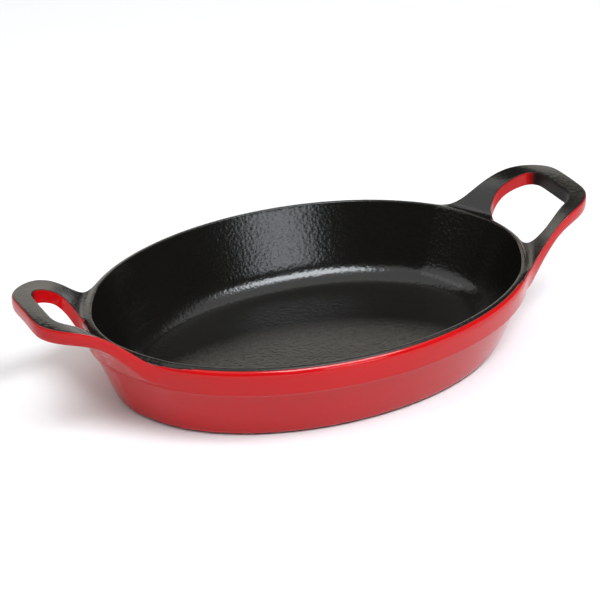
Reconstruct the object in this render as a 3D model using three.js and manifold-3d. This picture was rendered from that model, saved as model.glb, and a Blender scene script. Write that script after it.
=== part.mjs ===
// Oval enamelled cast-iron baking dish with two raised loop handles.
// Millimetres, +Z up, +X along the dish from handle to handle, origin under the middle of the base.
// Sizes are those of the finished, enamelled surface.  The iron lies one coat and one bond gap below it.

import * as THREE from 'three';
import { mergeVertices } from 'three/addons/utils/BufferGeometryUtils.js';
import Module from 'manifold-3d';

const wasm = await Module();
wasm.setup();

// Oval of the rim, and heights of the bowl
const RIM_LENGTH = 240;
const RIM_WIDTH = 170;
const RIM_HEIGHT = 43.8;
const FLOOR_HEIGHT = 5.4;

// Rim band
const RIM_BAND = 4.8;
const RIM_OUTER_RADIUS = 2;
const RIM_INNER_RADIUS = 0.9;

// Outer wall: an upper collar over a set-back lower wall, both leaning in towards the base
const COLLAR_HEIGHT = 14.3;
const COLLAR_LEAN = 1.7;
const COLLAR_STEP = 2.3;
const COLLAR_STEP_DROP = 1.4;
const LOWER_WALL_LEAN = 10.8;
const BASE_RADIUS = 4.5;

// Inner wall and floor
const INNER_WALL_LEAN = 15.5;
const FLOOR_RADIUS = 14;

// Loop handles, in plan
const HANDLE_REACH = 34.2;
const BAR_WIDTH = 9.9;
const BAR_SPAN = 53;
const ROOT_SPAN = 79;
const BAR_CORNER_RADIUS = 17;
const ROOT_RADIUS = 26;
const ROOT_RUN = 8;
const OPENING_BAR_SPAN = 35;
const OPENING_ROOT_SPAN = 56;
const OPENING_BAR_RADIUS = 8.5;
const OPENING_ROOT_RADIUS = 6.8;
const OPENING_RIM_LIP = 0.6;
const OPENING_RIM_STRAIGHT = 12;

// Loop handles, in section
const HANDLE_THICKNESS = 7.4;
const HANDLE_RISE = 22.5;
const RAMP_FOOT_RUN = 15;
const RAMP_FOOT_RISE = 17.8;
const RAMP_CREST_RUN = 15;
const RAMP_CREST_RISE = 0.9;
const RAMP_GROOVE = 0.5;
const UNDERARM_RUN = 2.5;
const UNDERARM_RISE = 4.5;

// Enamel coats
const COAT = 0.4;
const BOND_GAP = 0.06;
const SEAM_GAP = 0.1;
const BLACK_OVERLAP = 1;

// Fineness of the facets, and how far cutting bodies run past what they cut
const OVAL_SEGMENTS = 56;
const ARC_SEGMENTS = 4;
const EDGE_SEGMENTS = 2;
const EDGE_RADIUS_LIMIT = 3;
const RAMP_SEGMENTS = 8;
const UNDERARM_JOIN = 2;
const OVERCUT = 6;
const WELD = 1e-4;

const HALF_LENGTH = RIM_LENGTH / 2;
const HALF_WIDTH = RIM_WIDTH / 2;
const STEP_HEIGHT = RIM_HEIGHT - COLLAR_HEIGHT;
const TOP_HEIGHT = RIM_HEIGHT + HANDLE_RISE;

const point = (x, y) => new THREE.Vector2(x, y);

// A polyline whose corners are [x, y, radius]; a radius above 0 is turned into an arc.
function rounded(corners, closed) {
  const points = [];
  const count = corners.length;
  corners.forEach(([x, y, radius = 0], i) => {
    const isEnd = !closed && (i === 0 || i === count - 1);
    const here = point(x, y);
    if (isEnd || radius <= 0) {
      points.push(here);
      return;
    }
    const back = point(...corners[(i + count - 1) % count]).sub(here).normalize();
    const ahead = point(...corners[(i + 1) % count]).sub(here).normalize();
    const half = Math.acos(THREE.MathUtils.clamp(back.dot(ahead), -1, 1)) / 2;
    const centre = here.clone().addScaledVector(back.clone().add(ahead).normalize(), radius / Math.sin(half));
    const reach = radius / Math.tan(half);
    const first = here.clone().addScaledVector(back, reach).sub(centre);
    const last = here.clone().addScaledVector(ahead, reach).sub(centre);
    const turn = Math.atan2(first.cross(last), first.dot(last));
    const segments = radius < EDGE_RADIUS_LIMIT ? EDGE_SEGMENTS : ARC_SEGMENTS;
    for (let k = 0; k <= segments; k += 1) {
      const spoke = first.clone().rotateAround(point(0, 0), (turn * k) / segments);
      points.push(centre.clone().add(spoke));
    }
  });
  return points;
}

// The same line moved to the left of its direction of travel, with mitred corners.
function inset(points, distance, closed) {
  const count = points.length;
  const leftOf = (from, to) => point(from.y - to.y, to.x - from.x).normalize();
  return points.map((here, i) => {
    const before = closed || i > 0 ? points[(i + count - 1) % count] : null;
    const after = closed || i < count - 1 ? points[(i + 1) % count] : null;
    const normalIn = before ? leftOf(before, here) : leftOf(here, after);
    const normalOut = after ? leftOf(here, after) : normalIn;
    const mitre = normalIn.clone().add(normalOut).divideScalar(1 + normalIn.dot(normalOut));
    return here.clone().addScaledVector(mitre, distance);
  });
}

function solidFrom(geometry) {
  geometry.deleteAttribute('normal');
  geometry.deleteAttribute('uv');
  const merged = mergeVertices(geometry, WELD);
  const vertProperties = new Float32Array(merged.getAttribute('position').array);
  const triVerts = new Uint32Array(merged.index.array);
  return new wasm.Manifold(new wasm.Mesh({ numProp: 3, vertProperties, triVerts }));
}

// A body of revolution stretched into the oval: the profile is [distance outside the rim oval, height],
// and every point keeps its distance from the rim all the way round.
function ovalSolid(profile) {
  const lathePoints = profile.map(({ x, y }) => point(Math.max(x + HALF_WIDTH, 0), y));
  const geometry = new THREE.LatheGeometry(lathePoints, OVAL_SEGMENTS);
  geometry.rotateX(Math.PI / 2);
  const position = geometry.getAttribute('position');
  for (let i = 0; i < position.count; i += 1) {
    const spoke = Math.floor(i / lathePoints.length);
    const angle = (2 * Math.PI * spoke) / OVAL_SEGMENTS;
    position.setX(i, position.getX(i) + (HALF_LENGTH - HALF_WIDTH) * Math.sin(angle));
  }
  return solidFrom(geometry);
}

function prismSolid(outline) {
  const height = TOP_HEIGHT + 2 * OVERCUT;
  const geometry = new THREE.ExtrudeGeometry(new THREE.Shape(outline), { depth: height, bevelEnabled: false });
  geometry.translate(0, 0, -OVERCUT);
  return solidFrom(geometry);
}

// Section of the bowl, from the middle of the base out, up, over the rim and back to the middle of the floor
const AXIS = -HALF_WIDTH;
const STEP_TOP = -COLLAR_LEAN;
const STEP_FOOT = STEP_TOP - COLLAR_STEP;
const BASE_EDGE = STEP_FOOT - LOWER_WALL_LEAN;
const INNER_FOOT = -RIM_BAND - INNER_WALL_LEAN;

const outerSection = rounded([
  [AXIS, 0],
  [BASE_EDGE, 0, BASE_RADIUS],
  [STEP_FOOT, STEP_HEIGHT - COLLAR_STEP_DROP],
  [STEP_TOP, STEP_HEIGHT],
  [0, RIM_HEIGHT, RIM_OUTER_RADIUS],
  [-RIM_BAND / 2, RIM_HEIGHT],
], false);
const innerSection = rounded([
  [-RIM_BAND / 2, RIM_HEIGHT],
  [-RIM_BAND, RIM_HEIGHT, RIM_INNER_RADIUS],
  [INNER_FOOT, FLOOR_HEIGHT, FLOOR_RADIUS],
  [AXIS, FLOOR_HEIGHT],
], false);
const bowlSection = [...outerSection, ...innerSection.slice(1)];

// Top of a handle in section: a steep ramp off the rim that eases into the bar
const rampFoot = point(0, RIM_HEIGHT - RAMP_GROOVE);
const rampCrest = point(HANDLE_REACH, TOP_HEIGHT);
const ramp = new THREE.CubicBezierCurve(
  rampFoot,
  rampFoot.clone().add(point(RAMP_FOOT_RUN, RAMP_FOOT_RISE)),
  rampCrest.clone().sub(point(RAMP_CREST_RUN, RAMP_CREST_RISE)),
  rampCrest,
);
const crestSlope = RAMP_CREST_RISE / RAMP_CREST_RUN;
const rampEnd = rampCrest.clone().add(point(OVERCUT, OVERCUT * crestSlope));
const rampTop = [...ramp.getPoints(RAMP_SEGMENTS), rampEnd];

// Underside of a handle: the ramp one thickness lower, run down to the foot of the collar
const rampUnder = inset(rampTop, -HANDLE_THICKNESS, false);
const collarFoot = point(STEP_TOP, STEP_HEIGHT);
const wallMiddle = (BASE_EDGE - INNER_FOOT) / 2;
const underArm = new THREE.QuadraticBezierCurve(
  collarFoot,
  collarFoot.clone().add(point(UNDERARM_RUN, UNDERARM_RISE)),
  rampUnder[UNDERARM_JOIN],
).getPoints(ARC_SEGMENTS);
const handleSection = [
  point(-RIM_BAND / 2, rampFoot.y),
  point(STEP_TOP - wallMiddle, STEP_HEIGHT),
  ...underArm,
  ...rampUnder.slice(UNDERARM_JOIN + 1),
  ...rampTop.slice().reverse(),
];

// Handle outlines in plan, on the +X end
const onOval = (y, grow) => (HALF_LENGTH + grow) * Math.sqrt(1 - (y / (HALF_WIDTH + grow)) ** 2);
const BAR_EDGE = HALF_LENGTH + HANDLE_REACH;
const rootY = ROOT_SPAN / 2;
const tailY = rootY + ROOT_RUN;
const handleOutline = rounded([
  [onOval(tailY, 0), -tailY],
  [onOval(rootY, 0), -rootY, ROOT_RADIUS],
  [BAR_EDGE, -BAR_SPAN / 2, BAR_CORNER_RADIUS],
  [BAR_EDGE, BAR_SPAN / 2, BAR_CORNER_RADIUS],
  [onOval(rootY, 0), rootY, ROOT_RADIUS],
  [onOval(tailY, 0), tailY],
], true);
const openingY = OPENING_ROOT_SPAN / 2;
const openingOutline = rounded([
  [onOval(openingY, OPENING_RIM_LIP), -openingY, OPENING_ROOT_RADIUS],
  [BAR_EDGE - BAR_WIDTH, -OPENING_BAR_SPAN / 2, OPENING_BAR_RADIUS],
  [BAR_EDGE - BAR_WIDTH, OPENING_BAR_SPAN / 2, OPENING_BAR_RADIUS],
  [onOval(openingY, OPENING_RIM_LIP), openingY, OPENING_ROOT_RADIUS],
  ...[1, 0, -1].map((k) => k * OPENING_RIM_STRAIGHT).map((y) => [onOval(y, OPENING_RIM_LIP), y]),
], true);

const mirrored = (outline) => outline.map(({ x, y }) => point(-x, y)).reverse();

// The whole dish with its surface moved inwards by the given depth
function dishSolid(depth) {
  const bowl = ovalSolid(inset(bowlSection, depth, false));
  const section = inset(handleSection, depth, true);
  const flange = ovalSolid([...section, section[0]]);
  const outline = inset(handleOutline, depth, true);
  const opening = inset(openingOutline, -depth, true);
  const plates = prismSolid(outline).add(prismSolid(mirrored(outline)));
  const openings = prismSolid(opening).add(prismSolid(mirrored(opening)));
  return bowl.add(flange.intersect(plates).subtract(openings));
}

// Everything that lies over the colour line: the inside, the rim and the tops of the handles
function blackSide(grow) {
  const underCoat = inset(innerSection, 2 * COAT, false).reverse();
  const colourLine = [
    ...underCoat,
    point(OPENING_RIM_LIP, RIM_HEIGHT - BLACK_OVERLAP),
    ...inset(rampTop, -BLACK_OVERLAP, false).slice(1),
  ];
  const last = colourLine[colourLine.length - 1];
  return ovalSolid([
    ...inset(colourLine, -grow, false),
    point(last.x, TOP_HEIGHT + OVERCUT),
    point(AXIS, TOP_HEIGHT + OVERCUT),
  ]);
}

// The flat underside, inside the rounded foot of the wall
const flatEdge = outerSection[1].x;
function baseSide(grow) {
  return ovalSolid([
    point(AXIS, -OVERCUT),
    point(flatEdge + grow, -OVERCUT),
    point(flatEdge + grow, COAT + BOND_GAP / 2),
    point(AXIS, COAT + BOND_GAP / 2),
  ]);
}

function meshFrom(name, solid, material) {
  const { vertProperties, triVerts } = solid.getMesh();
  const geometry = new THREE.BufferGeometry();
  geometry.setAttribute('position', new THREE.BufferAttribute(new Float32Array(vertProperties), 3));
  geometry.setIndex(new THREE.BufferAttribute(new Uint32Array(triVerts), 1));
  geometry.computeVertexNormals();
  const mesh = new THREE.Mesh(geometry, material);
  mesh.name = name;
  return mesh;
}

const castIron = new THREE.MeshStandardMaterial({ color: 0x4a4846, roughness: 0.65, metalness: 0.9 });
const redEnamel = new THREE.MeshStandardMaterial({ color: 0xb5161b, roughness: 0.12, metalness: 0 });
const blackEnamel = new THREE.MeshStandardMaterial({ color: 0x22211e, roughness: 0.48, metalness: 0 });
const baseEnamel = new THREE.MeshStandardMaterial({ color: 0x1d1c1a, roughness: 0.6, metalness: 0 });

const coats = dishSolid(0).subtract(dishSolid(COAT));
const redCoat = coats.subtract(blackSide(SEAM_GAP)).subtract(baseSide(SEAM_GAP));

const dish = new THREE.Group();
dish.name = 'baking_dish';
dish.add(
  meshFrom('iron_casting', dishSolid(COAT + BOND_GAP), castIron),
  meshFrom('red_outer_enamel', redCoat, redEnamel),
  meshFrom('black_inner_enamel', coats.intersect(blackSide(0)), blackEnamel),
  meshFrom('black_base_enamel', coats.intersect(baseSide(0)), baseEnamel),
);

export default dish;
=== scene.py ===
"""Oval enamelled cast-iron baking dish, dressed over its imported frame.

The finished surface is one subdivision skin. Its faces are shared out between the red coat, the black
coat and the base coat, each a thin shell, and the casting is the same skin drawn in under them.
"""
from math import asin, atan2, cos, pi, radians, sin, sqrt, tan

import bmesh
import bpy
from bpy.props import FloatProperty, FloatVectorProperty, PointerProperty
from bpy.types import Operator, Panel, PropertyGroup
from mathutils import Matrix, Vector
from mathutils.geometry import interpolate_bezier
from mathutils.kdtree import KDTree


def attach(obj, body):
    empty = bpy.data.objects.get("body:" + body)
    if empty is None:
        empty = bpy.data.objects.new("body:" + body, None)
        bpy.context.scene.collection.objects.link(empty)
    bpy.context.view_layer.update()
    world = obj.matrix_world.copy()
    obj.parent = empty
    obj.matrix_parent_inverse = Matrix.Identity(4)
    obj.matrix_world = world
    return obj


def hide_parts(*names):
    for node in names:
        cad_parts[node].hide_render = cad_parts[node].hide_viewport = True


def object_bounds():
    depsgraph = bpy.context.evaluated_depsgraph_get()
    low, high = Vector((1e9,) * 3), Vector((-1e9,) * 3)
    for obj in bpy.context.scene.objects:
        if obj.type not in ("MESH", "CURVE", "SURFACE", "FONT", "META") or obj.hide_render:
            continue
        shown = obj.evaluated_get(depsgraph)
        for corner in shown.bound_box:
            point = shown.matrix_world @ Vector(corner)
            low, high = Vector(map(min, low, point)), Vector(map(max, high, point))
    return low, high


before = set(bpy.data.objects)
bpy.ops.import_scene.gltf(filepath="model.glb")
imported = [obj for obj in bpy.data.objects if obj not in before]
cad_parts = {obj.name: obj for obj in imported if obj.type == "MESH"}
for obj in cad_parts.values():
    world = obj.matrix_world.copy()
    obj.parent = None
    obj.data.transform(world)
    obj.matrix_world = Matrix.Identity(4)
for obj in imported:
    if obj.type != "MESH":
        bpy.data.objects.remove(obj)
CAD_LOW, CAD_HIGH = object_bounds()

bl_info = {
    "name": "Oval enamelled baking dish",
    "version": (1, 0, 0),
    "blender": (4, 5, 0),
    "location": "View3D > Sidebar > Baking dish",
    "description": "Models the casting and the enamel coats of an oval baking dish with loop handles",
    "category": "Add Mesh",
}

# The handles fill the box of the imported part, less a little space at the ends and above the bars
RIM_LENGTH = 0.2400
END_SPACE = 0.00002
TOP_SPACE = 0.0004
HANDLE_REACH = CAD_HIGH.x - RIM_LENGTH / 2 - END_SPACE
HANDLE_TOP = CAD_HIGH.z - TOP_SPACE

# The skin that all pieces are made from, and the distance within which its points are one
SKIN_NAME = "finished_skin"
SKIN_LEVELS = 2
MERGE = 1e-6

# Which coat a face of the skin belongs to
BLACK, RED, BASE = 0, 1, 2

# Columns of the skin in one quarter of the oval, from the handle end to the long side.
# The arm of a handle grows out of the columns from ARM_INNER to ARM_OUTER.
ARM_INNER = 3
ARM_OUTER = 7
SIDE_COLUMNS = 10

# Rings of the skin along half a handle, from the rim to the middle of the bar
HANDLE_RINGS = 14

# Shares of the straight runs of the bowl's section where the skin has a row
FLOOR_ROWS = (0.4, 0.8)
INNER_WALL_ROWS = (0.3, 0.62, 0.9)
RIM_ROWS = (0.5,)
ARM_ROWS = (0.28, 0.5, 0.7)
UNDER_ARM_ROWS = (0.88,)
LOWER_WALL_ROWS = (0.15, 0.5, 0.85)
BASE_ROWS = (0.1, 0.5)

# Steps of the roundings in that section
FLOOR_ARC = 4
EDGE_ARC = 2
BASE_ARC = 3

# How many rows the black coat runs down over the rim: on the open rim, beside an arm and in a loop.
# The first two blend within some columns, and the black stays off the edges of an arm by a share of one.
BLACK_ON_RIM = 0.5
BLACK_AT_ARM = 1.0
BLACK_IN_LOOP = 1.5
BLACK_BLEND = 2
BLACK_OFF_EDGE = 0.25

# How squarely the wall of a loop faces the dish where black overspray starts and is full
OVERSPRAY_FACING = (0.5, 0.9)

# Curves of the handles: steps of a corner and of a ramp, how far a soft corner's curve is drawn to its
# corner, halvings that find a distance from the rim, and how much of a flank's draft its second row has
CURVE_STEPS = 16
RAMP_POINTS = 64
CORNER_BULGE = 0.6
BISECTIONS = 40
SECOND_ROW_DRAFT = 0.25


def length(name, description, default):
    """A length in metres that a user may change."""
    return FloatProperty(name=name, description=description, default=default, unit="LENGTH", precision=5)


def colour(name, description, default):
    """A surface colour that a user may change."""
    return FloatVectorProperty(
        name=name, description=description, default=default, subtype="COLOR", min=0.0, max=1.0
    )


class DishSizes(PropertyGroup):
    """Sizes of the finished, enamelled surface."""

    rim_length: length("Rim length", "Length of the rim oval", RIM_LENGTH)
    rim_width: length("Rim width", "Width of the rim oval", 0.1700)
    rim_height: length("Rim height", "Height of the rim over the table", 0.0438)
    rim_band: length("Rim band", "Width of the flat band on the rim", 0.0048)
    rim_outer_radius: length("Rim outer radius", "Rounding of the rim's outer edge", 0.0030)
    rim_inner_radius: length("Rim inner radius", "Rounding of the rim's inner edge", 0.0006)
    collar_height: length("Collar height", "Height of the upper band of the wall", 0.0143)
    collar_lean: length("Collar lean", "How far the collar leans in at its foot", 0.0017)
    collar_step: length("Collar step", "Set-back of the wall under the collar", 0.0023)
    collar_step_drop: length("Collar step drop", "Height of the step under the collar", 0.0014)
    collar_edge_radius: length("Collar edge radius", "Rounding of the collar's edge and step", 0.0009)
    lower_wall_lean: length("Lower wall lean", "How far the lower wall leans in at its foot", 0.0108)
    base_radius: length("Base radius", "Rounding between the wall and the base", 0.0045)
    inner_wall_lean: length("Inner wall lean", "How far the inner wall leans in at the floor", 0.0155)
    floor_height: length("Floor height", "Height of the inner floor over the table", 0.0054)
    floor_radius: length("Floor radius", "Rounding between the inner wall and the floor", 0.0140)
    middle_inset: length("Middle inset", "Distance from the rim to the middle of floor and base", 0.0600)
    handle_reach: length("Handle reach", "Distance from the rim to the end of the bar", HANDLE_REACH)
    handle_top: length("Handle top", "Height of the bar over the table", HANDLE_TOP)
    bar_droop: length("Bar droop", "How much lower the bar is at its corners than in its middle", 0.0016)
    handle_thickness: length("Handle thickness", "Thickness of the bar", 0.0078)
    handle_edge: length("Handle edge", "Width of the rounded edges of a handle", 0.0011)
    edge_draft: length("Edge draft", "How far a handle's outer flank draws in at its top edge", 0.0005)
    foot_draft: length("Foot draft", "How far a handle's outer flank draws in at its lower edge", 0.0010)
    bar_width: length("Bar width", "Width of the bar", 0.0099)
    bar_span: length("Bar span", "Span of the bar between its outer corners", 0.0520)
    corner_arm_run: length("Corner arm run", "Run along the arm of the bar's outer corner", 0.0220)
    corner_bar_run: length("Corner bar run", "Run along the bar of its outer corner", 0.0130)
    root_span: length("Root span", "Span of the arms where they leave the rim", 0.0780)
    root_run: length("Root run", "Run of an arm's flare along the rim", 0.0080)
    root_radius: length("Root radius", "Rounding of an arm's flare into the rim", 0.0260)
    opening_bar_span: length("Opening bar span", "Span of the finger opening at the bar", 0.0350)
    opening_root_span: length("Opening root span", "Span of the finger opening at the rim", 0.0560)
    opening_bar_radius: length("Opening bar radius", "Rounding of the opening at the bar", 0.0085)
    opening_root_radius: length("Opening root radius", "Rounding of the opening at the rim", 0.0068)
    opening_rim_lip: length("Opening rim lip", "Distance from the rim oval to the opening", 0.0006)
    opening_rim_straight: length("Opening rim straight", "Half of the opening's side along the rim", 0.0120)
    ramp_groove: length("Ramp groove", "Depth of the crease between rim and arm", 0.0012)
    ramp_foot_run: length("Ramp foot run", "Run of the steep part of the arms", 0.0130)
    ramp_foot_rise: length("Ramp foot rise", "Rise of the steep part of the arms", 0.0190)
    ramp_crest_run: length("Ramp crest run", "Run of the level part of the arms", 0.0150)
    ramp_crest_rise: length("Ramp crest rise", "Rise of the level part of the arms", 0.0009)
    slope_thinning: length("Slope thinning", "How much thinner the arms are where they rise evenly", 0.0008)
    root_depth: length("Root depth", "Extra depth of an arm at its root", 0.0042)
    root_depth_run: length("Root depth run", "Run in which that extra depth fades", 0.0130)
    coat: length("Coat", "Thickness of an enamel coat", 0.0004)
    bond_gap: length("Bond gap", "Space left between a coat and the casting", 0.00005)


class DishColours(PropertyGroup):
    """Colours of the finishes."""

    red: colour("Red enamel", "Body colour of the outer enamel", (0.465, 0.0050, 0.0065))
    red_deep: colour("Deep red", "Red enamel where it lies thicker", (0.400, 0.0035, 0.0045))
    red_edge: colour("Red edge", "Red enamel where it thins out beside the black", (0.110, 0.0120, 0.0090))
    black: colour("Black enamel", "Body colour of the inner enamel", (0.0036, 0.0032, 0.0025))
    black_pale: colour("Pale black", "Inner enamel on the tips of its grain", (0.0064, 0.0060, 0.0052))
    base: colour("Base enamel", "Body colour of the enamel under the dish", (0.0100, 0.0098, 0.0090))
    iron: colour("Cast iron", "Colour of the bare casting", (0.0700, 0.0670, 0.0640))
    floor: colour("Floor", "Colour of the studio floor", (0.7300, 0.7300, 0.7300))


# Section of the bowl


def fillet(before, corner, after, radius, steps):
    """Points of an arc that rounds a corner between two straight runs."""
    back = (before - corner).normalized()
    ahead = (after - corner).normalized()
    half = back.angle(ahead) / 2
    centre = corner + (back + ahead).normalized() * (radius / sin(half))
    first = corner + back * (radius / tan(half)) - centre
    last = corner + ahead * (radius / tan(half)) - centre
    turn = atan2(first.x * last.y - first.y * last.x, first.dot(last))
    return [centre + Matrix.Rotation(turn * k / steps, 2) @ first for k in range(steps + 1)]


def soft_corner(before, corner, after, back, ahead, steps):
    """Points of a curve that rounds a corner more slowly on one side than on the other."""
    start = corner + (before - corner).normalized() * back
    end = corner + (after - corner).normalized() * ahead
    leave = start.lerp(corner, CORNER_BULGE)
    arrive = end.lerp(corner, CORNER_BULGE)
    return interpolate_bezier(start, leave, arrive, end, steps)


def between(start, end, fractions):
    """Points on a straight run."""
    return [start.lerp(end, fraction) for fraction in fractions]


def section_rows(size):
    """Rows of the skin as (distance outside the rim oval, height), from the floor over the rim to the base,
    and the places in that list where the coats and the arms begin and end."""
    step_height = size.rim_height - size.collar_height
    floor_middle = Vector((-size.middle_inset, size.floor_height))
    floor_corner = Vector((-size.rim_band - size.inner_wall_lean, size.floor_height))
    rim_inner = Vector((-size.rim_band, size.rim_height))
    rim_outer = Vector((0, size.rim_height))
    collar_foot = Vector((-size.collar_lean, step_height))
    step_foot = Vector((-size.collar_lean - size.collar_step, step_height - size.collar_step_drop))
    base_corner = Vector((step_foot.x - size.lower_wall_lean, 0))
    base_middle = Vector((-size.middle_inset, 0))

    floor_arc = fillet(floor_middle, floor_corner, rim_inner, size.floor_radius, FLOOR_ARC)
    inner_arc = fillet(floor_corner, rim_inner, rim_outer, size.rim_inner_radius, EDGE_ARC)
    outer_arc = fillet(rim_inner, rim_outer, collar_foot, size.rim_outer_radius, EDGE_ARC)
    collar_arc = fillet(rim_outer, collar_foot, step_foot, size.collar_edge_radius, EDGE_ARC)
    step_arc = fillet(collar_foot, step_foot, base_corner, size.collar_edge_radius, EDGE_ARC)
    base_arc = fillet(step_foot, base_corner, base_middle, size.base_radius, BASE_ARC)

    rows = [floor_middle, *between(floor_middle, floor_arc[0], FLOOR_ROWS), *floor_arc]
    rows += between(floor_arc[-1], inner_arc[0], INNER_WALL_ROWS)
    rows += inner_arc
    rows += between(inner_arc[-1], outer_arc[0], RIM_ROWS)
    marks = {"rim_top": len(rows), "arm_top": len(rows) + 1}
    rows += outer_arc
    rows += between(outer_arc[-1], collar_arc[0], ARM_ROWS)
    marks["arm_foot"] = len(rows) - 1
    rows += between(outer_arc[-1], collar_arc[0], UNDER_ARM_ROWS)
    rows += collar_arc
    rows += step_arc
    rows += between(step_arc[-1], base_arc[0], LOWER_WALL_ROWS)
    rows += base_arc
    marks["base_edge"] = len(rows) - 1
    rows += between(base_arc[-1], base_middle, BASE_ROWS)
    rows.append(base_middle)
    return rows, marks


# Handles


def on_oval(size, y, grow=0.0):
    """Point at a distance y from the long axis, on the rim oval or on one grown around it."""
    half_length, half_width = size.rim_length / 2 + grow, size.rim_width / 2 + grow
    return Vector((half_length * sqrt(1 - (y / half_width) ** 2), y))


def outside_rim(size, point):
    """How far a point in plan lies outside the rim oval."""
    low, high = -size.rim_band, 2 * size.handle_reach
    for _ in range(BISECTIONS):
        grow = (low + high) / 2
        reach = (point.x / (size.rim_length / 2 + grow)) ** 2 + (point.y / (size.rim_width / 2 + grow)) ** 2
        if reach < 1:
            high = grow
        else:
            low = grow
    return high


def evenly(points, count):
    """Points at even distances along a line, both ends included."""
    marks = [0.0]
    for start, end in zip(points, points[1:]):
        marks.append(marks[-1] + (end - start).length)
    spaced = []
    for k in range(count + 1):
        reach = marks[-1] * k / count
        step = next((i for i in range(1, len(marks)) if marks[i] >= reach), len(marks) - 1)
        share = (reach - marks[step - 1]) / (marks[step] - marks[step - 1])
        spaced.append(points[step - 1].lerp(points[step], share))
    return spaced


def handle_edges(size):
    """Inner and outer edge of half a handle in plan, ring by ring from the rim to the middle of the bar."""
    end = size.rim_length / 2 + size.handle_reach
    lip = size.opening_rim_lip
    outer = (
        on_oval(size, size.root_span / 2 + size.root_run),
        on_oval(size, size.root_span / 2),
        Vector((end, size.bar_span / 2)),
        Vector((end, 0)),
    )
    inner = (
        on_oval(size, size.opening_rim_straight, lip),
        on_oval(size, size.opening_root_span / 2, lip),
        Vector((end - size.bar_width, size.opening_bar_span / 2)),
        Vector((end - size.bar_width, 0)),
    )
    inner_line = fillet(*inner[:3], size.opening_root_radius, CURVE_STEPS)
    inner_line += fillet(*inner[1:], size.opening_bar_radius, CURVE_STEPS)
    outer_line = fillet(*outer[:3], size.root_radius, CURVE_STEPS)
    outer_line += soft_corner(*outer[1:], size.corner_arm_run, size.corner_bar_run, CURVE_STEPS)
    inner_line.append(inner[-1])
    outer_line.append(outer[-1])
    return evenly(inner_line, HANDLE_RINGS), evenly(outer_line, HANDLE_RINGS)


def column_angles(size):
    """Angles of the skin's columns: up to the arm, across its root and on to the long side."""
    inner, outer = handle_edges(size)
    first = asin(inner[0].y / (size.rim_width / 2))
    last = asin(outer[0].y / (size.rim_width / 2))
    edge = size.handle_edge / (size.rim_width / 2)
    angles = [first * k / ARM_INNER for k in range(ARM_INNER)]
    angles += [first, first + edge, (first + last) / 2, last - edge, last]
    angles += [last + (pi / 2 - last) * k / SIDE_COLUMNS for k in range(1, SIDE_COLUMNS + 1)]
    return angles


def ramp_curve(size):
    """Top of a handle in section: a steep ramp off the rim that eases into the bar."""
    foot = Vector((0, size.rim_height - size.ramp_groove, 0))
    crest = Vector((size.handle_reach, size.handle_top, 0))
    lift = Vector((size.ramp_foot_run, size.ramp_foot_rise, 0))
    ease = Vector((size.ramp_crest_run, size.ramp_crest_rise, 0))
    return interpolate_bezier(foot, foot + lift, crest - ease, crest, RAMP_POINTS)


def arm_heights(size, ramp, distance):
    """Heights of the rows of an arm at a distance outside the rim oval, from its top to its underside."""
    step = next((k for k, point in enumerate(ramp) if point.x >= distance), RAMP_POINTS - 1)
    start, end = ramp[step - 1], ramp[step]
    slope = (end.y - start.y) / (end.x - start.x)
    top = start.y + slope * (distance - start.x)
    depth = size.handle_thickness - size.slope_thinning * slope
    depth += size.root_depth * max(0.0, 1 - distance / size.root_depth_run)
    edge = size.handle_edge
    return (top, top - edge, top - depth / 2, top - depth + edge, top - depth)


# Skin of the finished dish


def quarter_cage(size):
    """Control mesh of one quarter of the dish, with half of one handle."""
    rows, marks = section_rows(size)
    angles = column_angles(size)
    half_length, half_width = size.rim_length / 2, size.rim_width / 2
    cage = bmesh.new()
    row_of = cage.verts.layers.float.new("row")
    column_of = cage.verts.layers.float.new("column")
    section = [cage.verts.new((half_width + row.x, 0, row.y)) for row in rows]
    for index, vert in enumerate(section):
        vert[row_of] = index
    lines = [cage.edges.new(pair) for pair in zip(section, section[1:])]
    steps = len(angles) - 1
    bmesh.ops.spin(
        cage,
        geom=section + lines,
        cent=(0, 0, 0),
        axis=(0, 0, 1),
        angle=pi / 2,
        steps=steps,
        use_merge=False,
    )
    for vert in cage.verts:
        column = round(atan2(vert.co.y, vert.co.x) / (pi / 2) * steps)
        vert[column_of] = column
        row = rows[round(vert[row_of])]
        reach = Vector((half_length + row.x, half_width + row.x))
        vert.co = (reach.x * cos(angles[column]), reach.y * sin(angles[column]), row.y)
    grow_arm(cage, size, marks)
    return cage


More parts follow.
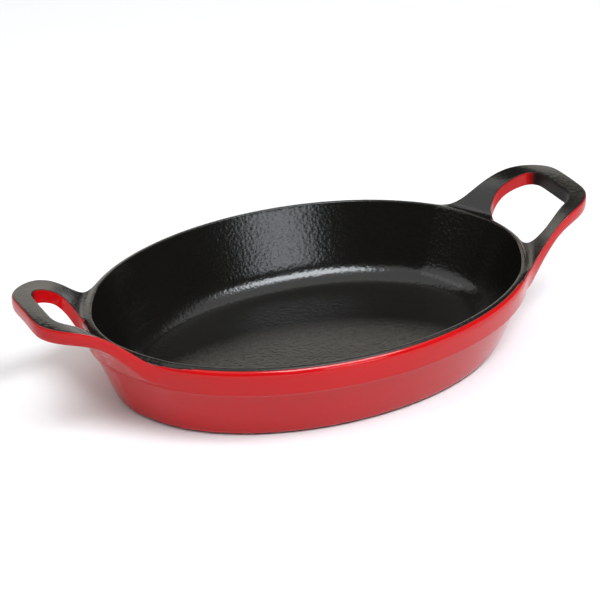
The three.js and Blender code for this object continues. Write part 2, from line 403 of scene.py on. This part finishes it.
def grow_arm(cage, size, marks):
    """Extrudes the arm out of the collar, round the corner and along the bar to the mirror plane."""
    row_of = cage.verts.layers.float["row"]
    column_of = cage.verts.layers.float["column"]

    def in_root(vert):
        in_rows = marks["arm_top"] <= vert[row_of] <= marks["arm_foot"]
        return in_rows and ARM_INNER <= vert[column_of] <= ARM_OUTER

    region = [face for face in cage.faces if all(in_root(vert) for vert in face.verts)]
    ramp = ramp_curve(size)
    inner_edge, outer_edge = handle_edges(size)
    next_to_edge = size.edge_draft * SECOND_ROW_DRAFT
    next_to_foot = size.foot_draft * SECOND_ROW_DRAFT
    drafts = (size.edge_draft, next_to_edge, 0, next_to_foot, size.foot_draft)
    for inner, outer in zip(inner_edge[1:], outer_edge[1:]):
        grown = bmesh.ops.extrude_face_region(cage, geom=region)["geom"]
        bmesh.ops.delete(cage, geom=region, context="FACES")
        region = [item for item in grown if isinstance(item, bmesh.types.BMFace)]
        width = (outer - inner).length
        for vert in (item for item in grown if isinstance(item, bmesh.types.BMVert)):
            row = round(vert[row_of]) - marks["arm_top"]
            edge = size.handle_edge / width
            draft = drafts[row] / width
            across = (0, edge, 0.5, 1 - edge - draft, 1 - draft)
            place = inner.lerp(outer, across[round(vert[column_of]) - ARM_INNER])
            distance = outside_rim(size, place)
            droop = size.bar_droop * (place.y / (size.bar_span / 2) * distance / size.handle_reach) ** 2
            vert.co = (place.x, place.y, arm_heights(size, ramp, distance)[row] - droop)
    bmesh.ops.delete(cage, geom=region, context="FACES")


def smooth_step(value, low, high):
    """0 below a range, 1 above it and an even curve in between."""
    share = min(max((value - low) / (high - low), 0.0), 1.0)
    return share * share * (3 - 2 * share)


def black_reach(column):
    """Rows that the black coat runs down over the rim at a column."""
    if column < ARM_INNER:
        return BLACK_IN_LOOP
    share = smooth_step(column, ARM_OUTER, ARM_OUTER + BLACK_BLEND)
    return BLACK_AT_ARM + (BLACK_ON_RIM - BLACK_AT_ARM) * share


def coat_of(rows, columns, marks):
    """Coat of a face: black inside, on the rim and on the tops of the handles, red outside, base below."""
    middle = sum(columns) / len(columns)
    on_arm = ARM_INNER + BLACK_OFF_EDGE < middle < ARM_OUTER - BLACK_OFF_EDGE
    if on_arm and max(rows) < marks["arm_top"] + MERGE:
        return BLACK
    if sum(rows) / len(rows) < marks["rim_top"] + black_reach(middle):
        return BLACK
    return BASE if min(rows) > marks["base_edge"] - MERGE else RED


def skin_mesh(size):
    """The finished surface as one smooth closed mesh, made once and kept for the other coats."""
    if SKIN_NAME in bpy.data.meshes:
        return bpy.data.meshes[SKIN_NAME]
    cage = quarter_cage(size)
    for axis in ("Y", "X"):
        whole = cage.verts[:] + cage.edges[:] + cage.faces[:]
        bmesh.ops.mirror(cage, geom=whole, matrix=Matrix(), merge_dist=MERGE, axis=axis)
    bmesh.ops.remove_doubles(cage, verts=cage.verts, dist=MERGE)
    bmesh.ops.holes_fill(cage, edges=[edge for edge in cage.edges if edge.is_boundary], sides=0)
    bmesh.ops.recalc_face_normals(cage, faces=cage.faces)
    mesh = bpy.data.meshes.new("skin_cage")
    cage.to_mesh(mesh)
    cage.free()
    holder = bpy.data.objects.new("skin_cage", mesh)
    bpy.context.scene.collection.objects.link(holder)
    smooth = holder.modifiers.new("Smooth", "SUBSURF")
    smooth.levels = smooth.render_levels = SKIN_LEVELS
    shown = holder.evaluated_get(bpy.context.evaluated_depsgraph_get())
    skin = bpy.data.meshes.new_from_object(shown)
    skin.name = SKIN_NAME
    bpy.data.objects.remove(holder)
    bpy.data.meshes.remove(mesh)
    return skin


# Pieces: what each vertex of a coat says to its material
COLOUR_LINE = "from_colour_line"
OVERSPRAY = "overspray"


def finish_piece(piece, node, material):
    """Hangs a piece on the frame in the place of its node."""
    piece.data.materials.clear()
    piece.data.materials.append(material)
    piece.data.shade_smooth()
    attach(piece, "root")
    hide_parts(node)


def new_piece(name, shape):
    """A linked object made from a bmesh."""
    mesh = bpy.data.meshes.new(name)
    shape.to_mesh(mesh)
    shape.free()
    piece = bpy.data.objects.new(name, mesh)
    bpy.context.scene.collection.objects.link(piece)
    return piece


def mark_colour_line(shape):
    """Notes on each vertex of a coat how far it lies from the coat's edge."""
    border = [vert.co.copy() for vert in shape.verts if vert.is_boundary]
    tree = KDTree(len(border))
    for index, place in enumerate(border):
        tree.insert(place, index)
    tree.balance()
    from_line = shape.verts.layers.float.new(COLOUR_LINE)
    for vert in shape.verts:
        vert[from_line] = tree.find(vert.co)[2]


def mark_overspray(shape, size):
    """Notes on each vertex of a coat how much overspray it has, on the wall of a loop along the bar."""
    column_of = shape.verts.layers.float["column"]
    overspray = shape.verts.layers.float.new(OVERSPRAY)
    shape.normal_update()
    for vert in shape.verts:
        level = vert.normal.to_2d()
        inward = (-level.x if vert.co.x > 0 else level.x) / max(level.length, MERGE)
        on_loop = vert[column_of] < ARM_INNER + 1
        in_loop = on_loop and abs(vert.co.x) > size.rim_length / 2 + size.bar_width
        vert[overspray] = smooth_step(inward, *OVERSPRAY_FACING) if in_loop else 0.0


def coat_shell(name, coat, size):
    """One enamel coat: its share of the skin, thickened inwards."""
    shape = bmesh.new()
    shape.from_mesh(skin_mesh(size))
    row_of = shape.verts.layers.float["row"]
    column_of = shape.verts.layers.float["column"]
    marks = section_rows(size)[1]
    others = []
    for face in shape.faces:
        rows = [vert[row_of] for vert in face.verts]
        columns = [vert[column_of] for vert in face.verts]
        if coat_of(rows, columns, marks) != coat:
            others.append(face)
    bmesh.ops.delete(shape, geom=others, context="FACES")
    mark_colour_line(shape)
    mark_overspray(shape, size)
    piece = new_piece(name, shape)
    shell = piece.modifiers.new("Coat thickness", "SOLIDIFY")
    shell.thickness = size.coat
    shell.offset = -1
    return piece


# Materials: the inputs of the fired glaze with their defaults, and its outputs
GLAZE_NAME = "Fired glaze"
GLAZE_INPUTS = (
    ("Ripple Scale", 120.0),
    ("Ripple Height", 1.0),
    ("Grain Scale", 900.0),
    ("Grain Height", 1.0),
    ("Drift Scale", 14.0),
)
GLAZE_OUTPUTS = ("Height", "Grain", "Drift")
PEBBLE_SMOOTHNESS = 0.6

# Places of the colour sockets in a Mix node, whose names are also those of other kinds
MIX_FACTOR, MIX_FIRST, MIX_SECOND, MIX_RESULT = 0, 6, 7, 2

# Single values of the finishes
RED_EDGE_REACH = 0.0008
RED_IOR = 1.35
OVERSPRAY_ROUGHNESS = 0.4
BLACK_IOR = 1.44
IRON_METALLIC = 0.85
FLOOR_ROUGHNESS = 0.9
FLOOR_SPECULAR = 0.1


class Nodes:
    """Short way to add and join the nodes of one tree."""

    def __init__(self, tree):
        self.tree = tree
        tree.nodes.clear()

    def add(self, kind, inputs=None, **settings):
        """A new node with its settings, and its inputs given as values or as sockets to link."""
        node = self.tree.nodes.new(kind)
        for key, value in settings.items():
            setattr(node, key, value)
        for key, value in (inputs or {}).items():
            if isinstance(value, bpy.types.NodeSocket):
                self.tree.links.new(value, node.inputs[key])
            else:
                node.inputs[key].default_value = value
        return node

    def math(self, operation, *values):
        """Result of a math node."""
        return self.add("ShaderNodeMath", dict(enumerate(values)), operation=operation).outputs[0]


def glaze_group():
    """Surface of a sprayed and fired coat: a slow ripple, a fine grain and a slow drift of tone."""
    if GLAZE_NAME in bpy.data.node_groups:
        return bpy.data.node_groups[GLAZE_NAME]
    tree = bpy.data.node_groups.new(GLAZE_NAME, "ShaderNodeTree")
    for label, default in GLAZE_INPUTS:
        socket = tree.interface.new_socket(label, in_out="INPUT", socket_type="NodeSocketFloat")
        socket.default_value = default
    for label in GLAZE_OUTPUTS:
        tree.interface.new_socket(label, in_out="OUTPUT", socket_type="NodeSocketFloat")
    nodes = Nodes(tree)
    given = nodes.add("NodeGroupInput").outputs
    place = nodes.add("ShaderNodeTexCoord").outputs["Object"]

    def noise(scale, detail, roughness):
        inputs = {"Vector": place, "Scale": scale, "Detail": detail, "Roughness": roughness}
        return nodes.add("ShaderNodeTexNoise", inputs).outputs["Fac"]

    ripple = noise(given["Ripple Scale"], detail=1.0, roughness=0.4)
    fine = noise(given["Grain Scale"], detail=3.0, roughness=0.6)
    drift = noise(given["Drift Scale"], detail=2.0, roughness=0.5)
    cells = {"Vector": place, "Scale": given["Grain Scale"], "Smoothness": PEBBLE_SMOOTHNESS}
    pebbles = nodes.add("ShaderNodeTexVoronoi", cells, feature="SMOOTH_F1").outputs["Distance"]
    bumps = nodes.math("SUBTRACT", 1.0, pebbles)
    grain = nodes.math("MULTIPLY", bumps, fine)
    tall = nodes.math("MULTIPLY", grain, given["Grain Height"])
    height = nodes.math("MULTIPLY_ADD", ripple, given["Ripple Height"], tall)
    nodes.add("NodeGroupOutput", {"Height": height, "Grain": grain, "Drift": drift})
    return tree


def start_material(name):
    """An empty node material with its shader and output in place."""
    material = bpy.data.materials.new(name)
    material.use_nodes = True
    nodes = Nodes(material.node_tree)
    shader = nodes.add("ShaderNodeBsdfPrincipled")
    nodes.add("ShaderNodeOutputMaterial", {"Surface": shader.outputs["BSDF"]})
    return material, nodes, shader.inputs


def glaze(nodes, ripple, grain, drift):
    """The fired glaze with one finish's ripple and grain, each a scale and a height, and scale of drift."""
    group = nodes.add("ShaderNodeGroup", node_tree=glaze_group())
    for socket, value in zip(group.inputs, (*ripple, *grain, drift)):
        socket.default_value = value
    return group.outputs


def spread(nodes, value, low, high):
    """A value from 0 to 1 spread over another range."""
    span = nodes.add("ShaderNodeMapRange", {"Value": value, "To Min": low, "To Max": high})
    return span.outputs["Result"]


def blend_colours(nodes, factor, first, second):
    """Mix of two colours, each a socket or a plain colour."""
    mix = nodes.add("ShaderNodeMix", data_type="RGBA")
    for place, value in ((MIX_FACTOR, factor), (MIX_FIRST, first), (MIX_SECOND, second)):
        if isinstance(value, bpy.types.NodeSocket):
            nodes.tree.links.new(value, mix.inputs[place])
        else:
            mix.inputs[place].default_value = (*value, 1.0)
    return mix.outputs[MIX_RESULT]


def bump(nodes, height, distance, strength):
    """A normal from a height in metres."""
    node = nodes.add("ShaderNodeBump", {"Height": height, "Distance": distance, "Strength": strength})
    return node.outputs["Normal"]


def near_line(nodes, reach):
    """1 on the line where the coats meet, fading to 0 within a reach."""
    line = nodes.add("ShaderNodeAttribute", attribute_name=COLOUR_LINE)
    fade = nodes.add(
        "ShaderNodeMapRange",
        {"Value": line.outputs["Fac"], "From Max": reach, "To Min": 1.0, "To Max": 0.0},
        interpolation_type="SMOOTHSTEP",
    )
    return fade.outputs["Result"]


def join(nodes, shader, body, rough, normal):
    """Links a finish's colour, roughness and normal to its shader."""
    for name, socket in (("Base Color", body), ("Roughness", rough), ("Normal", normal)):
        nodes.tree.links.new(socket, shader[name])


def red_enamel(tones):
    """Gloss red enamel with a faint orange peel, browner where it thins out beside the black."""
    material, nodes, shader = start_material("red_enamel")
    surface = glaze(nodes, ripple=(150.0, 1.0), grain=(700.0, 0.12), drift=16.0)
    body = blend_colours(nodes, surface["Drift"], tones.red, tones.red_deep)
    edged = blend_colours(nodes, near_line(nodes, RED_EDGE_REACH), body, tones.red_edge)
    dust = nodes.add("ShaderNodeAttribute", attribute_name=OVERSPRAY).outputs["Fac"]
    dusted = blend_colours(nodes, dust, edged, tones.black_pale)
    gloss = spread(nodes, surface["Grain"], low=0.07, high=0.13)
    rough = nodes.math("MULTIPLY_ADD", dust, OVERSPRAY_ROUGHNESS, gloss)
    normal = bump(nodes, surface["Height"], distance=0.00003, strength=0.5)
    join(nodes, shader, dusted, rough, normal)
    shader["IOR"].default_value = RED_IOR
    return material


def black_enamel(tones):
    """Matt black enamel with the fine pebbled grain of a sprayed coat."""
    material, nodes, shader = start_material("black_enamel")
    surface = glaze(nodes, ripple=(60.0, 0.5), grain=(560.0, 1.0), drift=22.0)
    body = blend_colours(nodes, surface["Grain"], tones.black, tones.black_pale)
    rough = spread(nodes, surface["Drift"], low=0.16, high=0.22)
    normal = bump(nodes, surface["Height"], distance=0.00014, strength=1.0)
    join(nodes, shader, body, rough, normal)
    shader["IOR"].default_value = BLACK_IOR
    return material


def base_enamel(tones):
    """Matt black enamel of the underside, smoother than the inside."""
    material, nodes, shader = start_material("base_enamel")
    surface = glaze(nodes, ripple=(80.0, 0.5), grain=(900.0, 0.6), drift=30.0)
    body = blend_colours(nodes, surface["Drift"], tones.base, tones.black_pale)
    rough = spread(nodes, surface["Grain"], low=0.45, high=0.6)
    normal = bump(nodes, surface["Height"], distance=0.00012, strength=0.6)
    join(nodes, shader, body, rough, normal)
    return material


def cast_iron(tones):
    """Grit-blasted grey iron under the coats."""
    material, nodes, shader = start_material("cast_iron")
    surface = glaze(nodes, ripple=(90.0, 0.6), grain=(600.0, 1.0), drift=40.0)
    body = blend_colours(nodes, surface["Drift"], tones.iron, tones.black_pale)
    rough = spread(nodes, surface["Grain"], low=0.55, high=0.8)
    normal = bump(nodes, surface["Height"], distance=0.0002, strength=0.7)
    join(nodes, shader, body, rough, normal)
    shader["Metallic"].default_value = IRON_METALLIC
    return material


# Operators


class BAKING_DISH_OT_iron_casting(Operator):
    """Model the casting: the whole skin, drawn in under the coats"""

    bl_idname = "baking_dish.iron_casting"
    bl_label = "Iron casting"

    def execute(self, context):
        size = context.scene.dish_sizes
        shape = bmesh.new()
        shape.from_mesh(skin_mesh(size))
        shape.normal_update()
        for vert in shape.verts:
            vert.co -= vert.normal * (size.coat + size.bond_gap)
        piece = new_piece("casting", shape)
        finish_piece(piece, "iron_casting", cast_iron(context.scene.dish_colours))
        return {"FINISHED"}


class BAKING_DISH_OT_black_inner_enamel(Operator):
    """Model the black coat of the inside, the rim and the tops of the handles"""

    bl_idname = "baking_dish.black_inner_enamel"
    bl_label = "Black inner enamel"

    def execute(self, context):
        piece = coat_shell("inner_coat", BLACK, context.scene.dish_sizes)
        finish_piece(piece, "black_inner_enamel", black_enamel(context.scene.dish_colours))
        return {"FINISHED"}


class BAKING_DISH_OT_red_outer_enamel(Operator):
    """Model the red coat of the wall, the sides of the handles and their undersides"""

    bl_idname = "baking_dish.red_outer_enamel"
    bl_label = "Red outer enamel"

    def execute(self, context):
        piece = coat_shell("outer_coat", RED, context.scene.dish_sizes)
        finish_piece(piece, "red_outer_enamel", red_enamel(context.scene.dish_colours))
        return {"FINISHED"}


class BAKING_DISH_OT_black_base_enamel(Operator):
    """Model the black coat of the underside"""

    bl_idname = "baking_dish.black_base_enamel"
    bl_label = "Black base enamel"

    def execute(self, context):
        piece = coat_shell("base_coat", BASE, context.scene.dish_sizes)
        finish_piece(piece, "black_base_enamel", base_enamel(context.scene.dish_colours))
        return {"FINISHED"}


# Stage: the camera's direction and roll, its distance and the shift of its aim in metres, and its lens
VIEW_AZIMUTH = radians(-27.524)
VIEW_ELEVATION = radians(28.54)
VIEW_ROLL = radians(0.25)
VIEW_DISTANCE = 1.2
VIEW_RIGHT = -0.0054
VIEW_UP = 0.0277
VIEW_LENS = 140.6
SENSOR_WIDTH = 36.0

# Surroundings and light
FLOOR_SIZE = 12.0
WORLD_GREY = (0.05, 0.05, 0.05)
WORLD_STRENGTH = 1.0
COOL_LIGHT = (0.90, 0.95, 1.0)
PLAIN_LIGHT = (1.0, 1.0, 1.0)
WARM_LIGHT = (1.0, 0.95, 0.86)

# Softboxes: name, azimuth and elevation in degrees, distance, width, depth, power in watts and colour
SOFTBOXES = (
    ("key_softbox", 16, 58, 1.5, 1.0, 0.5, 27.0, COOL_LIGHT),
    ("top_softbox", 0, 84, 1.9, 3.0, 2.6, 32.0, PLAIN_LIGHT),
    ("back_softbox", 155, 19, 2.2, 2.8, 1.1, 13.0, WARM_LIGHT),
    ("front_softbox", 12, 17, 1.6, 0.6, 0.3, 3.8, COOL_LIGHT),
    ("left_softbox", -105, 42, 2.0, 2.2, 1.3, 14.0, PLAIN_LIGHT),
)


def compass(azimuth, elevation):
    """Direction to something seen at an azimuth from the front and an elevation over the floor."""
    return Vector((sin(azimuth) * cos(elevation), -cos(azimuth) * cos(elevation), sin(elevation)))


def add_camera():
    """Camera at the photograph's viewing angle."""
    away = compass(VIEW_AZIMUTH, VIEW_ELEVATION)
    level = Vector((cos(VIEW_AZIMUTH), sin(VIEW_AZIMUTH), 0))
    up = away.cross(level)
    target = level * VIEW_RIGHT + up * VIEW_UP
    right = level * cos(VIEW_ROLL) - up * sin(VIEW_ROLL)
    top = level * sin(VIEW_ROLL) + up * cos(VIEW_ROLL)
    data = bpy.data.cameras.new("photo_camera")
    data.lens = VIEW_LENS
    data.sensor_width = SENSOR_WIDTH
    camera = bpy.data.objects.new("photo_camera", data)
    turn = Matrix((right, top, away)).transposed().to_4x4()
    camera.matrix_world = Matrix.Translation(target + away * VIEW_DISTANCE) @ turn
    bpy.context.scene.collection.objects.link(camera)
    bpy.context.scene.camera = camera


def add_softbox(name, azimuth, elevation, distance, width, depth, power, tint):
    """A rectangular lamp that points at the dish."""
    data = bpy.data.lights.new(name, "AREA")
    data.shape = "RECTANGLE"
    data.size = width
    data.size_y = depth
    data.energy = power
    data.color = tint
    lamp = bpy.data.objects.new(name, data)
    away = compass(radians(azimuth), radians(elevation))
    turn = away.to_track_quat("Z", "Y").to_matrix().to_4x4()
    lamp.matrix_world = Matrix.Translation(away * distance) @ turn
    bpy.context.scene.collection.objects.link(lamp)


def add_floor(tones):
    """Plain pale floor under the dish."""
    shape = bmesh.new()
    bmesh.ops.create_grid(shape, x_segments=1, y_segments=1, size=FLOOR_SIZE / 2)
    floor = new_piece("studio_floor", shape)
    material, _, shader = start_material("studio_floor")
    shader["Base Color"].default_value = (*tones.floor, 1.0)
    shader["Roughness"].default_value = FLOOR_ROUGHNESS
    shader["Specular IOR Level"].default_value = FLOOR_SPECULAR
    floor.data.materials.append(material)


class BAKING_DISH_OT_stage(Operator):
    """Set up the floor, the light and the camera"""

    bl_idname = "baking_dish.stage"
    bl_label = "Studio stage"

    def execute(self, context):
        add_floor(context.scene.dish_colours)
        for softbox in SOFTBOXES:
            add_softbox(*softbox)
        world = bpy.data.worlds.new("studio_world")
        world.use_nodes = True
        background = world.node_tree.nodes["Background"].inputs
        background["Color"].default_value = (*WORLD_GREY, 1.0)
        background["Strength"].default_value = WORLD_STRENGTH
        context.scene.world = world
        context.scene.view_settings.view_transform = "Standard"
        add_camera()
        return {"FINISHED"}


class BAKING_DISH_PT_panel(Panel):
    """The dish's pieces, sizes and colours"""

    bl_idname = "BAKING_DISH_PT_panel"
    bl_label = "Baking dish"
    bl_space_type = "VIEW_3D"
    bl_region_type = "UI"
    bl_category = "Baking dish"

    def draw(self, context):
        layout = self.layout
        for operator in OPERATORS:
            layout.operator(operator.bl_idname)
        for group in (context.scene.dish_sizes, context.scene.dish_colours):
            for name in group.__annotations__:
                layout.prop(group, name)


OPERATORS = (
    BAKING_DISH_OT_iron_casting,
    BAKING_DISH_OT_black_inner_enamel,
    BAKING_DISH_OT_red_outer_enamel,
    BAKING_DISH_OT_black_base_enamel,
    BAKING_DISH_OT_stage,
)
CLASSES = (DishSizes, DishColours, *OPERATORS, BAKING_DISH_PT_panel)


def register():
    """Makes the dish's operators, panel and settings known."""
    for cls in CLASSES:
        bpy.utils.register_class(cls)
    bpy.types.Scene.dish_sizes = PointerProperty(type=DishSizes)
    bpy.types.Scene.dish_colours = PointerProperty(type=DishColours)


def unregister():
    """Takes them away again."""
    del bpy.types.Scene.dish_colours
    del bpy.types.Scene.dish_sizes
    for cls in reversed(CLASSES):
        bpy.utils.unregister_class(cls)


def main():
    """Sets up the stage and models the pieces."""
    register()
    bpy.ops.baking_dish.stage()
    bpy.ops.baking_dish.iron_casting()
    bpy.ops.baking_dish.black_inner_enamel()
    bpy.ops.baking_dish.red_outer_enamel()
    bpy.ops.baking_dish.black_base_enamel()
    bpy.data.meshes.remove(bpy.data.meshes[SKIN_NAME])


if __name__ == "__main__":
    main()
